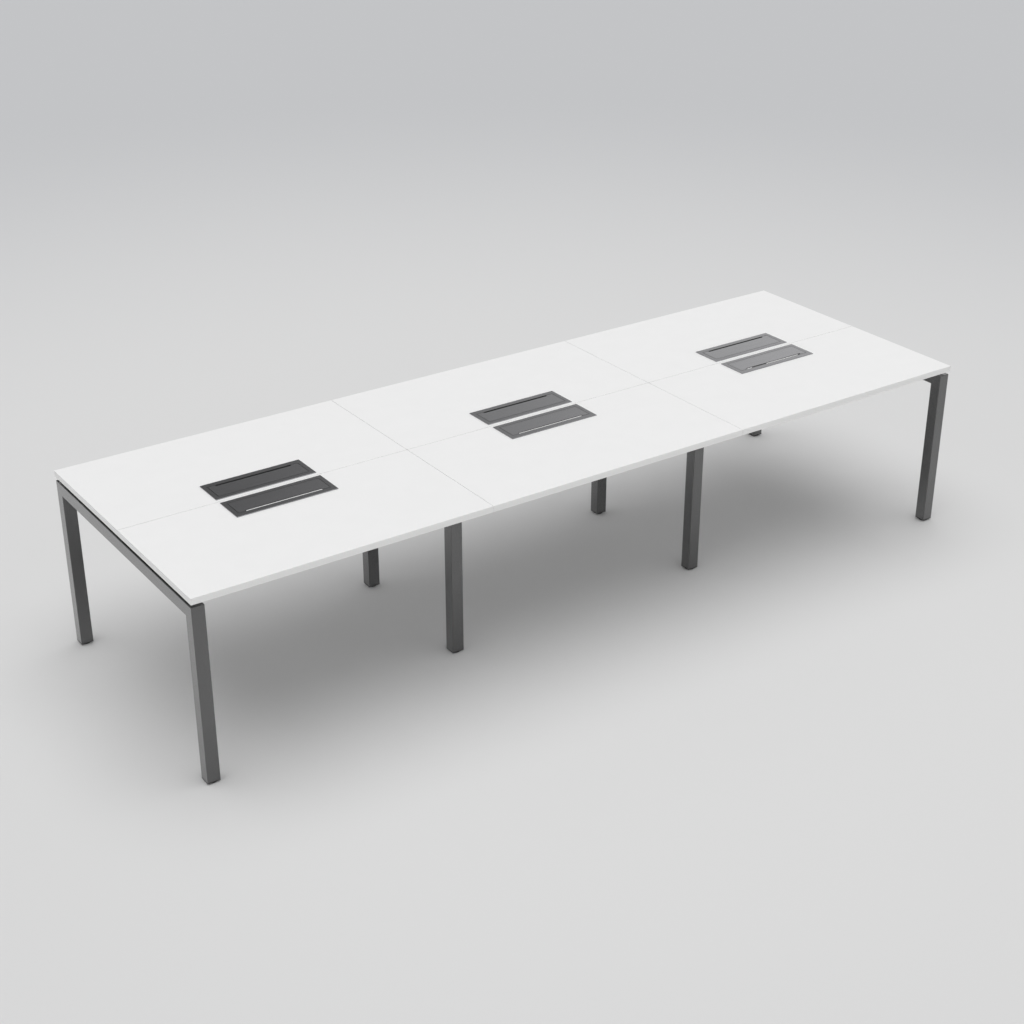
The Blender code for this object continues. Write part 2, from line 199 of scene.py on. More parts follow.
@dataclass(frozen=True)
class PressedMelamine:
    """White melamine face pressed on chipboard, with ABS edging on the board's sides.

    The press plate leaves a fine pearl grain that breaks up reflections, so the face is an even,
    matt white, while the extruded edging is a little smoother and greyer. In the joints between
    the boards the edging is painted grey as painted shade of the narrow slits, so that they read
    as fine lines.
    """

    name: str = "white_melamine_pressed_pearl"
    face: str = "#E9E9E9"
    face_shade: str = "#E6E6E6"
    edging: str = "#E5E5E4"
    # Painted shade: grey on the edging in the joints, for the shade inside the narrow slits between
    # the boards
    joint: str = "#A2A2A0"
    joint_half: float = 1.5 * MM
    # Half the length and depth inside which the joints get painted shade
    shaded_half: tuple[float, float] = (1.796, 0.596)
    cloud_mm: float = 85.0
    wipe_mm: tuple[float, float, float] = (240.0, 45.0, 45.0)
    face_roughness: tuple[float, float] = (0.50, 0.58)
    edging_roughness: float = 0.42
    # How level a surface is where edging ends and face starts
    face_level: tuple[float, float] = (0.35, 0.85)
    # The real pearl is about half a millimetre wide; it is drawn coarser so that it shows
    pearl_mm: float = 1.6
    pearl_strength: float = 0.10
    pearl_depth: float = 0.05 * MM

    def material(self) -> Material:
        """Build the material."""
        material, tree, place = new_material(self.name)
        cloud = add_node(
            tree, "TexNoise", {"Scale": per_metre(self.cloud_mm), "Detail": 3.0}, {"Vector": place}
        )
        face = add_node(
            tree,
            "Mix",
            {"data_type": "RGBA", 6: linear(self.face), 7: linear(self.face_shade)},
            {0: cloud},
        )
        # The board's faces look up or down and the edging looks sideways
        normal = add_node(tree, "NewGeometry").outputs["True Normal"]
        upright = add_node(tree, "SeparateXYZ", links={"Vector": normal})
        level = add_node(tree, "Math", {"operation": "ABSOLUTE"}, {0: upright.outputs["Z"]})
        on_face = add_node(
            tree,
            "MapRange",
            {"From Min": self.face_level[0], "From Max": self.face_level[1]},
            {"Value": level},
        )
        # Painted shade: the edging turns grey in the joints, where the slits between the boards lie
        # in shade
        edging = add_node(
            tree,
            "Mix",
            {"data_type": "RGBA", 6: linear(self.edging), 7: linear(self.joint)},
            {0: self.joint_shade_mask(tree, place)},
        )
        colour = add_node(tree, "Mix", {"data_type": "RGBA"}, {0: on_face, 6: edging, 7: face})
        stretch = add_node(
            tree,
            "Mapping",
            {"Scale": [per_metre(size) for size in self.wipe_mm]},
            {"Vector": place},
        )
        wipe = add_node(tree, "TexNoise", {"Scale": 1.0, "Detail": 4.0}, {"Vector": stretch})
        low, high = self.face_roughness
        face_gloss = add_node(
            tree, "MapRange", NOISE_RANGE | {"To Min": low, "To Max": high}, {"Value": wipe}
        )
        roughness = add_node(tree, "Mix", {2: self.edging_roughness}, {0: on_face, 3: face_gloss})
        pearl = add_node(
            tree, "TexNoise", {"Scale": per_metre(self.pearl_mm), "Detail": 2.0}, {"Vector": place}
        )
        bump = add_node(
            tree,
            "Bump",
            {"Strength": self.pearl_strength, "Distance": self.pearl_depth},
            {"Height": pearl},
        )
        close_tree(
            tree,
            {"IOR": 1.45, "Specular IOR Level": 0.35},
            {"Base Color": colour, "Roughness": roughness, "Normal": bump},
        )
        return material

    def joint_shade_mask(self, tree: NodeTree, place: NodeSocket) -> Node:
        """Find the joints that get painted shade, on the desk's centre line and half a bay each
        side of it.

        Args:
            tree: node tree of the material.
            place: Object coordinates.

        Returns:
            Node that gives 1 in a joint, short of the desk's outer edges, and 0 elsewhere.
        """
        parts = add_node(tree, "SeparateXYZ", links={"Vector": place})
        along, across = parts.outputs["X"], parts.outputs["Y"]
        distance = add_node(tree, "Math", {"operation": "ABSOLUTE"}, {0: along})
        half_length, half_depth = self.shaded_half
        joints = []
        for value, middle, run, half_run in (
            (distance, BAY_HALF, across, half_depth),
            (across, 0.0, along, half_length),
        ):
            on_line = add_node(
                tree, "Math", {"operation": "COMPARE", 1: middle, 2: self.joint_half}, {0: value}
            )
            inside = add_node(tree, "Math", {"operation": "COMPARE", 1: 0.0, 2: half_run}, {0: run})
            joint = add_node(tree, "Math", {"operation": "MULTIPLY"}, {0: on_line, 1: inside})
            joints.append(joint)
        return add_node(tree, "Math", {"operation": "MAXIMUM"}, {0: joints[0], 1: joints[1]})


@dataclass(frozen=True)
class PowderCoat:
    """Graphite polyester powder, sprayed on steel tube and stoved.

    The melted film keeps a shallow orange peel and a faint fleck of darker grains, with a satin
    gloss that brightens where the tube is seen at a low angle.
    """

    name: str = "graphite_powder_coat_stoved"
    film: str = "#3E3E3E"
    fleck: str = "#373737"
    # Real flecks are under half a millimetre; they are drawn coarser so that they show
    fleck_mm: float = 1.1
    # Noise values between which a fleck darkens
    fleck_range: tuple[float, float] = (0.50, 0.72)
    gloss_mm: float = 60.0
    roughness: tuple[float, float] = (0.15, 0.21)
    peel_mm: float = 1.8
    peel_strength: float = 0.12
    peel_depth: float = 0.10 * MM

    def material(self) -> Material:
        """Build the material."""
        material, tree, place = new_material(self.name)
        fleck = add_node(
            tree,
            "TexNoise",
            {"Scale": per_metre(self.fleck_mm), "Detail": 3.0, "Roughness": 0.65},
            {"Vector": place},
        )
        amount = add_node(
            tree,
            "MapRange",
            {"From Min": self.fleck_range[0], "From Max": self.fleck_range[1]},
            {"Value": fleck},
        )
        colour = add_node(
            tree,
            "Mix",
            {"data_type": "RGBA", 6: linear(self.film), 7: linear(self.fleck)},
            {0: amount},
        )
        patch = add_node(
            tree, "TexNoise", {"Scale": per_metre(self.gloss_mm), "Detail": 3.0}, {"Vector": place}
        )
        low, high = self.roughness
        roughness = add_node(
            tree, "MapRange", NOISE_RANGE | {"To Min": low, "To Max": high}, {"Value": patch}
        )
        peel = add_node(
            tree, "TexNoise", {"Scale": per_metre(self.peel_mm), "Detail": 1.5}, {"Vector": place}
        )
        bump = add_node(
            tree,
            "Bump",
            {"Strength": self.peel_strength, "Distance": self.peel_depth},
            {"Height": peel},
        )
        close_tree(
            tree,
            {"IOR": 1.7, "Coat Weight": 0.95, "Coat Roughness": 0.26, "Coat IOR": 1.5},
            {"Base Color": colour, "Roughness": roughness, "Normal": bump},
        )
        return material


@dataclass(frozen=True)
class FlapArea:
    """A rectangle that is alike in all six cable flaps, in the plane of the worktops."""

    half_length: float
    # From the desk's centre line
    near: float
    far: float

    def mask(self, tree: NodeTree, place: NodeSocket) -> Node:
        """Find what lies inside the rectangle.

        Args:
            tree: node tree of the material.
            place: Object coordinates.

        Returns:
            Node that gives 1 inside the rectangle and 0 outside it.
        """
        parts = add_node(tree, "SeparateXYZ", links={"Vector": place})
        along = add_node(
            tree, "Math", {"operation": "PINGPONG", 1: BAY_HALF}, {0: parts.outputs["X"]}
        )
        within = add_node(tree, "Math", {"operation": "LESS_THAN", 1: self.half_length}, {0: along})
        across = add_node(tree, "Math", {"operation": "ABSOLUTE"}, {0: parts.outputs["Y"]})
        middle, reach = (self.near + self.far) / 2, (self.far - self.near) / 2
        between = add_node(tree, "Math", {"operation": "COMPARE", 1: middle, 2: reach}, {0: across})
        return add_node(tree, "Math", {"operation": "MULTIPLY"}, {0: within, 1: between})


# Round the slot in a lid's edge, on the lid inside its cut edges, and inside the bezel's rim
LID_SLOT = FlapArea(half_length=157.5 * MM, near=119.8 * MM, far=130.0 * MM)
LID_FACE = FlapArea(half_length=187.6 * MM, near=36.8 * MM, far=127.8 * MM)
BEZEL_WELL = FlapArea(half_length=189.8 * MM, near=34.6 * MM, far=130.2 * MM)


@dataclass(frozen=True)
class GapShade:
    """Painted shade: black on the cut edges, in the lid's slot and in the bezel's well, standing in
    for the shade in the gaps round the lids, so that they read as dark lines.
    """

    covered: FlapArea
    # An area that stays bare metal, and everything outside it gets the painted shade too
    bare: FlapArea | None = None
    # Black that stands in for the shade in the gaps and the slot
    colour: str = "#121212"
    roughness: float = 0.55

    def mask(self, tree: NodeTree, place: NodeSocket) -> Node:
        """Find what gets the painted shade.

        Args:
            tree: node tree of the material.
            place: Object coordinates.

        Returns:
            Node that gives 1 on the painted shade and 0 on bare metal.
        """
        covered = self.covered.mask(tree, place)
        if not self.bare:
            return covered
        outside = add_node(
            tree, "Math", {"operation": "SUBTRACT", 0: 1.0}, {1: self.bare.mask(tree, place)}
        )
        return add_node(tree, "Math", {"operation": "MAXIMUM"}, {0: covered, 1: outside})


@dataclass(frozen=True)
class BrushedAluminium:
    """Aluminium sheet, brushed along the desk's length and anodised in its natural colour.

    The brush leaves long fine lines that smear reflections, under a hard, slightly grey oxide.
    """

    name: str
    light: str = "#B4B4B6"
    dark: str = "#A9A9AB"
    # Real brush lines are about 0.2 mm apart; they are drawn wider so that they show
    line_mm: tuple[float, float, float] = (120.0, 2.2, 2.2)
    roughness: tuple[float, float] = (0.19, 0.26)
    scratch_mm: tuple[float, float, float] = (40.0, 0.5, 0.5)
    scratch_strength: float = 0.15
    scratch_depth: float = 0.02 * MM
    gap_shade: GapShade | None = None

    def material(self) -> Material:
        """Build the material."""
        material, tree, place = new_material(self.name)
        stretch = add_node(
            tree,
            "Mapping",
            {"Scale": [per_metre(size) for size in self.line_mm]},
            {"Vector": place},
        )
        lines = add_node(
            tree, "TexNoise", {"Scale": 1.0, "Detail": 4.0, "Roughness": 0.6}, {"Vector": stretch}
        )
        colour = add_node(
            tree,
            "Mix",
            {"data_type": "RGBA", 6: linear(self.light), 7: linear(self.dark)},
            {0: lines},
        )
        low, high = self.roughness
        roughness = add_node(
            tree, "MapRange", NOISE_RANGE | {"To Min": low, "To Max": high}, {"Value": lines}
        )
        fine_stretch = add_node(
            tree,
            "Mapping",
            {"Scale": [per_metre(size) for size in self.scratch_mm]},
            {"Vector": place},
        )
        scratches = add_node(
            tree, "TexNoise", {"Scale": 1.0, "Detail": 3.0}, {"Vector": fine_stretch}
        )
        bump = add_node(
            tree,
            "Bump",
            {"Strength": self.scratch_strength, "Distance": self.scratch_depth},
            {"Height": scratches},
        )
        links: Links = {"Base Color": colour, "Roughness": roughness, "Normal": bump}
        settings: Settings = {"Metallic": 1.0}
        # Painted shade: matt black, not metal, on the cut edges, the lid's slot and the bezel's
        # well
        if self.gap_shade:
            dark = self.gap_shade.mask(tree, place)
            links["Base Color"] = add_node(
                tree,
                "Mix",
                {"data_type": "RGBA", 7: linear(self.gap_shade.colour)},
                {0: dark, 6: colour},
            )
            links["Roughness"] = add_node(
                tree, "Mix", {3: self.gap_shade.roughness}, {0: dark, 2: roughness}
            )
            links["Metallic"] = add_node(tree, "Math", {"operation": "SUBTRACT", 0: 1.0}, {1: dark})
            settings = {}
        close_tree(tree, settings, links)
        return material


@dataclass(frozen=True)
class MouldedPlastic:
    """Black plastic from a spark-eroded mould.

    The eroded steel prints a fine, even grain that turns highlights into a dull sheen.
    """

    name: str
    colour: str
    worn: str
    # Real grain is about a tenth of a millimetre wide; it is drawn coarser so that it shows
    grain_mm: float
    roughness: tuple[float, float]
    ior: float = 1.49
    grain_strength: float = 0.30
    grain_depth: float = 0.05 * MM

    def material(self) -> Material:
        """Build the material."""
        material, tree, place = new_material(self.name)
        grain = add_node(
            tree, "TexNoise", {"Scale": per_metre(self.grain_mm), "Detail": 2.0}, {"Vector": place}
        )
        colour = add_node(
            tree,
            "Mix",
            {"data_type": "RGBA", 6: linear(self.colour), 7: linear(self.worn)},
            {0: grain},
        )
        low, high = self.roughness
        roughness = add_node(
            tree, "MapRange", NOISE_RANGE | {"To Min": low, "To Max": high}, {"Value": grain}
        )
        bump = add_node(
            tree,
            "Bump",
            {"Strength": self.grain_strength, "Distance": self.grain_depth},
            {"Height": grain},
        )
        close_tree(
            tree, {"IOR": self.ior}, {"Base Color": colour, "Roughness": roughness, "Normal": bump}
        )
        return material


@dataclass(frozen=True)
class ZincPlate:
    """Bright zinc plated on turned or rolled steel.

    The thin plating is a cool silver, clouded where it was passivated and rinsed.
    """

    name: str = "steel_bright_zinc_plated"
    light: str = "#CBCED1"
    cloud: str = "#AEB1B3"
    cloud_mm: float = 5.0
    scuff_mm: float = 0.8
    roughness: tuple[float, float] = (0.22, 0.38)

    def material(self) -> Material:
        """Build the material."""
        material, tree, place = new_material(self.name)
        cloud = add_node(
            tree, "TexNoise", {"Scale": per_metre(self.cloud_mm), "Detail": 4.0}, {"Vector": place}
        )
        colour = add_node(
            tree,
            "Mix",
            {"data_type": "RGBA", 6: linear(self.light), 7: linear(self.cloud)},
            {0: cloud},
        )
        scuff = add_node(
            tree, "TexNoise", {"Scale": per_metre(self.scuff_mm), "Detail": 3.0}, {"Vector": place}
        )
        low, high = self.roughness
        roughness = add_node(
            tree, "MapRange", NOISE_RANGE | {"To Min": low, "To Max": high}, {"Value": scuff}
        )
        close_tree(tree, {"Metallic": 1.0}, {"Base Color": colour, "Roughness": roughness})
        return material


@dataclass(frozen=True)
class StudioFloor:
    """Matt painted studio floor, with a painted pool of light: palest near the desk under the lamps
    and greyer far away.
    """

    name: str = "painted_studio_floor"
    # Painted pool of light: the colour fades from this pale grey near the desk to the greyer far
    # one
    near: str = "#D4D4D4"
    far: str = "#BDBEC0"
    near_radius: float = 1.6
    far_radius: float = 9.0
    tooth_mm: float = 12.0
    tooth_strength: float = 0.05
    tooth_depth: float = 0.1 * MM

    def material(self) -> Material:
        """Build the material."""
        material, tree, place = new_material(self.name)
        # Painted falloff of light with the distance from the desk's centre
        radius = add_node(tree, "VectorMath", {"operation": "LENGTH"}, {0: place})
        away = add_node(
            tree,
            "MapRange",
            {
                "interpolation_type": "SMOOTHSTEP",
                "From Min": self.near_radius,
                "From Max": self.far_radius,
            },
            {"Value": radius},
        )
        colour = add_node(
            tree, "Mix", {"data_type": "RGBA", 6: linear(self.near), 7: linear(self.far)}, {0: away}
        )
        tooth = add_node(
            tree, "TexNoise", {"Scale": per_metre(self.tooth_mm), "Detail": 2.0}, {"Vector": place}
        )
        bump = add_node(
            tree,
            "Bump",
            {"Strength": self.tooth_strength, "Distance": self.tooth_depth},
            {"Height": tooth},
        )
        close_tree(
            tree,
            {"Roughness": 1.0, "Specular IOR Level": 0.0},
            {"Base Color": colour, "Normal": bump},
        )
        return material


def add_primitive(add: Callable[..., Any], **settings: Any) -> Object:
    """Deselect everything and add a primitive, with its place and turn put in its mesh.

    Args:
        add: operator that adds the primitive.
        settings: sizes and place of the primitive.

    Returns:
        The new, active object.
    """
    bpy.ops.object.select_all(action="DESELECT")
    add(**settings)
    bpy.ops.object.transform_apply(location=True, rotation=True, scale=True)
    return bpy.context.object


@contextmanager
def editing(obj: Object) -> Iterator[None]:
    """Hold one object in edit mode.

    Args:
        obj: object to edit.
    """
    bpy.ops.object.select_all(action="DESELECT")
    obj.select_set(True)
    bpy.context.view_layer.objects.active = obj
    bpy.ops.object.mode_set(mode="EDIT")
    yield
    bpy.ops.object.mode_set(mode="OBJECT")


def select(obj: Object, kind: Element, test: Callable[[Any], bool]) -> None:
    """Select the elements of a mesh in edit mode that pass a test, and nothing else.

    Args:
        obj: object in edit mode.
        kind: what to select.
        test: takes a vertex, edge or face and says whether it is selected.
    """
    bpy.ops.mesh.select_mode(type=kind.value)
    bpy.ops.mesh.select_all(action="DESELECT")
    mesh = bmesh.from_edit_mesh(obj.data)
    found = {Element.VERTEX: mesh.verts, Element.EDGE: mesh.edges, Element.FACE: mesh.faces}[kind]
    for element in found:
        if test(element):
            element.select_set(True)
    mesh.select_flush_mode()
    bmesh.update_edit_mesh(obj.data)


def apply_modifier(obj: Object, kind: str, **settings: Any) -> None:
    """Add a modifier to an object and apply it.

    Args:
        obj: object that gets the modifier.
        kind: type of the modifier.
        settings: values of the modifier.
    """
    bpy.ops.object.select_all(action="DESELECT")
    obj.select_set(True)
    bpy.context.view_layer.objects.active = obj
    modifier = obj.modifiers.new(kind.lower(), kind)
    for name, value in settings.items():
        setattr(modifier, name, value)
    bpy.ops.object.modifier_apply(modifier=modifier.name)


def combine(obj: Object, operation: str, other: Object) -> None:
    """Join another object to this one, cut it out or keep what they share, and remove it.

    Args:
        obj: object that stays.
        operation: "UNION", "INTERSECT" or "DIFFERENCE".
        other: object that is used up.
    """
    apply_modifier(obj, "BOOLEAN", operation=operation, solver="EXACT", object=other)
    bpy.data.objects.remove(other, do_unlink=True)


def tidy(obj: Object, angle: float = 35.0) -> None:
    """Merge a mesh's doubles, point its faces out and smooth its round surfaces.

    Args:
        obj: object to tidy.
        angle: edges sharper than this many degrees stay sharp.
    """
    with editing(obj):
        bpy.ops.mesh.select_all(action="SELECT")
        bpy.ops.mesh.remove_doubles(threshold=FINE)
        bpy.ops.mesh.normals_make_consistent(inside=False)
    bpy.ops.object.shade_smooth_by_angle(angle=math.radians(angle))


def copies(pattern: Object, name: str, places: list[tuple[Vector, float]]) -> Object:
    """Make one piece of copies of a pattern, each turned about Z and moved to its place.

    Args:
        pattern: object modelled about the origin.
        name: name of the new piece.
        places: where each copy goes and how far it is turned, in radians.

    Returns:
        The new piece.
    """
    made = []
    for place, turn in places:
        twin = pattern.copy()
        twin.data = pattern.data.copy()
        twin.data.transform(Matrix.Translation(place) @ Matrix.Rotation(turn, 4, "Z"))
        bpy.context.scene.collection.objects.link(twin)
        made.append(twin)
    bpy.ops.object.select_all(action="DESELECT")
    for twin in made:
        twin.select_set(True)
    bpy.context.view_layer.objects.active = made[0]
    if len(made) > 1:
        bpy.ops.object.join()
    made[0].name = name
    made[0].data.name = name
    return made[0]


def discard(*patterns: Object) -> None:
    """Remove patterns whose copies are made."""
    for pattern in patterns:
        bpy.data.objects.remove(pattern, do_unlink=True)


def dress(obj: Object, material: Material) -> None:
    """Give an object one material all over.

    Args:
        obj: CAD node or new piece.
        material: its finish.
    """
    if not obj.material_slots:
        obj.data.materials.append(material)
    for slot in obj.material_slots:
        slot.material = material


@dataclass
class Finishes:
    """The desk's materials: one for each slot of the record, and the bezels' own."""

    by_slot: dict[Slot, Material] = field(default_factory=dict)
    bezel: Material | None = None

    def build(self) -> None:
        """Make every material."""
        kinds = {
            Slot.BOARD: PressedMelamine(),
            Slot.STEEL: PowderCoat(),
            Slot.PLASTIC: MouldedPlastic(
                "black_polypropylene_moulded",
                colour="#1F1F1E",
                worn="#292928",
                grain_mm=0.9,
                roughness=(0.42, 0.55),
            ),
            Slot.NYLON: MouldedPlastic(
                "black_nylon_moulded",
                colour="#1C1C1D",
                worn="#262627",
                grain_mm=1.4,
                roughness=(0.50, 0.62),
                ior=1.53,
            ),
            Slot.ALUMINIUM: BrushedAluminium(
                "aluminium_brushed_anodised_lid",
                gap_shade=GapShade(covered=LID_SLOT, bare=LID_FACE),
            ),
            Slot.BRIGHT: ZincPlate(),
        }
        self.by_slot = {slot: finish.material() for slot, finish in kinds.items()}
        self.bezel = BrushedAluminium(
            "aluminium_brushed_anodised_bezel",
            light="#ABABAD",
            dark="#A0A0A2",
            gap_shade=GapShade(covered=BEZEL_WELL),
        ).material()


@dataclass
class CarriedParts:
    """CAD nodes that keep their shape and get a finish, by the start of their names."""

    title: str
    materials: dict[str, Material]

    def dress(self, nodes: dict[str, Object]) -> list[str]:
        """Dress the nodes.

        Args:
            nodes: CAD nodes by name.

        Returns:
            Names of the dressed nodes.
        """
        dressed = []
        for name, node in nodes.items():
            for start, material in self.materials.items():
                if name.startswith(start):
                    dress(node, material)
                    dressed.append(name)
        return dressed


def carry(
    piece: Object, body: str, slot: Slot, finishes: Finishes, replaced: tuple[str, ...] = ()
) -> str:
    """Dress a finished piece and tie it to the CAD body that carries it.

    Args:
        piece: the finished piece.
        body: CAD body that it moves with.
        slot: material slot that it takes its finish from.
        finishes: materials by slot.
        replaced: CAD nodes that it stands for.

    Returns:
        The piece's name.
    """
    dress(piece, finishes.by_slot[slot])
    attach(piece, body)
    if replaced:
        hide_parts(*replaced)
    return piece.name


@dataclass
class LevellingFeet:
    """Screw-in feet: a moulded nylon pad under each leg, on a rolled thread up through its cap."""

    pad_radius: float = 20.0 * MM
    pad_height: float = 6.0 * MM
    pad_sides: int = 64
    rim_round: float = 2.0 * MM
    rim_segments: int = 5
    sole_round: float = 0.5 * MM
    sole_segments: int = 2
    groove_margin: float = 2.5 * MM
    groove_width: float = 6.0 * MM
    groove_depth: float = 0.8 * MM
    hollow_margin: float = 3.0 * MM
    hollow_depth: float = 1.2 * MM
    thread_root: float = 4.08 * MM
    thread_pitch: float = 1.5 * MM
    # Across and up the flanks, the crest and the root of one thread
    thread_steps: tuple[tuple[float, float], ...] = (
        (0.92 * MM, 0.53 * MM),
        (0.0, 0.19 * MM),
        (-0.92 * MM, 0.53 * MM),
        (0.0, 0.25 * MM),
    )
    thread_sides: int = 32
    stem_start: float = 4.0 * MM
    stem_end: float = 50.9 * MM

    def pad_pattern(self) -> Object:
        """Shape a disc into a pad with a round rim, a ring groove on top and a hollow sole.

        Returns:
            The pad, about the origin.
        """
        pad = add_primitive(
            bpy.ops.mesh.primitive_cylinder_add,
            vertices=self.pad_sides,
            radius=self.pad_radius,
            depth=self.pad_height,
            location=(0.0, 0.0, self.pad_height / 2),
        )
        hub = self.pad_radius - self.rim_round - self.groove_margin - self.groove_width

        def on_groove(face: BMFace) -> bool:
            """Say whether a face lies between the hub and the groove's outer edge."""
            reach = face.calc_center_median().to_2d().length
            return face.normal.z > FACING and hub < reach < hub + self.groove_width

        top = self.pad_height - SNAP
        with editing(pad):
            select(pad, Element.EDGE, lambda edge: all(v.co.z > top for v in edge.verts))
            bpy.ops.mesh.bevel(offset=self.rim_round, segments=self.rim_segments, affect="EDGES")
            select(pad, Element.EDGE, lambda edge: all(v.co.z < SNAP for v in edge.verts))
            bpy.ops.mesh.bevel(offset=self.sole_round, segments=self.sole_segments, affect="EDGES")
            select(pad, Element.FACE, lambda face: face.normal.z > FACING and len(face.verts) > 4)
            bpy.ops.mesh.inset(thickness=self.groove_margin)
            bpy.ops.mesh.inset(thickness=self.groove_width)
            select(pad, Element.FACE, on_groove)
            bpy.ops.mesh.extrude_region_move(
                TRANSFORM_OT_translate={"value": (0.0, 0.0, -self.groove_depth)}
            )
            select(pad, Element.FACE, lambda face: face.normal.z < -FACING and len(face.verts) > 4)
            bpy.ops.mesh.inset(thickness=self.hollow_margin)
            bpy.ops.mesh.extrude_region_move(
                TRANSFORM_OT_translate={"value": (0.0, 0.0, self.hollow_depth)}
            )
        tidy(pad)
        return pad

    def stem_pattern(self) -> Object:
        """Draw one thread's outline, wind it up the stem and trim both ends.

        Returns:
            The stem, about the origin.
        """
        # Two threads more than the stem needs, which the trim takes off
        start = self.stem_start - 2 * self.thread_pitch
        stem = add_primitive(
            bpy.ops.mesh.primitive_plane_add,
            size=self.thread_pitch,
            location=(self.thread_root, 0.0, start),
        )
        with editing(stem):
            select(stem, Element.VERTEX, lambda v: True)
            bpy.ops.mesh.merge(type="CENTER")
            for across, up in self.thread_steps:
                bpy.ops.mesh.extrude_vertices_move(
                    TRANSFORM_OT_translate={"value": (across, 0.0, up)}
                )
        apply_modifier(
            stem,
            "SCREW",
            axis="Z",
            screw_offset=self.thread_pitch,
            iterations=math.ceil((self.stem_end - start) / self.thread_pitch) + 1,
            steps=self.thread_sides,
            render_steps=self.thread_sides,
        )
        with editing(stem):
            bpy.ops.mesh.select_all(action="SELECT")
            bpy.ops.mesh.remove_doubles(threshold=SNAP)
            bpy.ops.mesh.bisect(
                plane_co=(0.0, 0.0, self.stem_start),
                plane_no=(0.0, 0.0, 1.0),
                use_fill=True,
                clear_inner=True,
                threshold=FINE,
            )
            bpy.ops.mesh.select_all(action="SELECT")
            bpy.ops.mesh.bisect(
                plane_co=(0.0, 0.0, self.stem_end),
                plane_no=(0.0, 0.0, 1.0),
                use_fill=True,
                clear_outer=True,
                threshold=FINE,
            )
        tidy(stem)
        return stem

    def build(self, legs: list[str], finishes: Finishes) -> list[str]:
        """Put a pad and a stem under every leg.

        Args:
            legs: names of the legs, by frame and row.
            finishes: materials by slot.

        Returns:
            Names of the new pieces.
        """
        pad, stem = self.pad_pattern(), self.stem_pattern()
        made = []
        for leg in legs:
            low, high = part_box(f"foot_{leg}")
            place = [(Vector(((low.x + high.x) / 2, (low.y + high.y) / 2, low.z)), 0.0)]
            body = f"levelling_foot_{leg}"
            piece = copies(pad, f"levelling_pad_{leg}", place)
            made.append(carry(piece, body, Slot.NYLON, finishes, (f"foot_{leg}",)))
            piece = copies(stem, f"levelling_stem_{leg}", place)
            made.append(carry(piece, body, Slot.BRIGHT, finishes))
        discard(pad, stem)
        return made


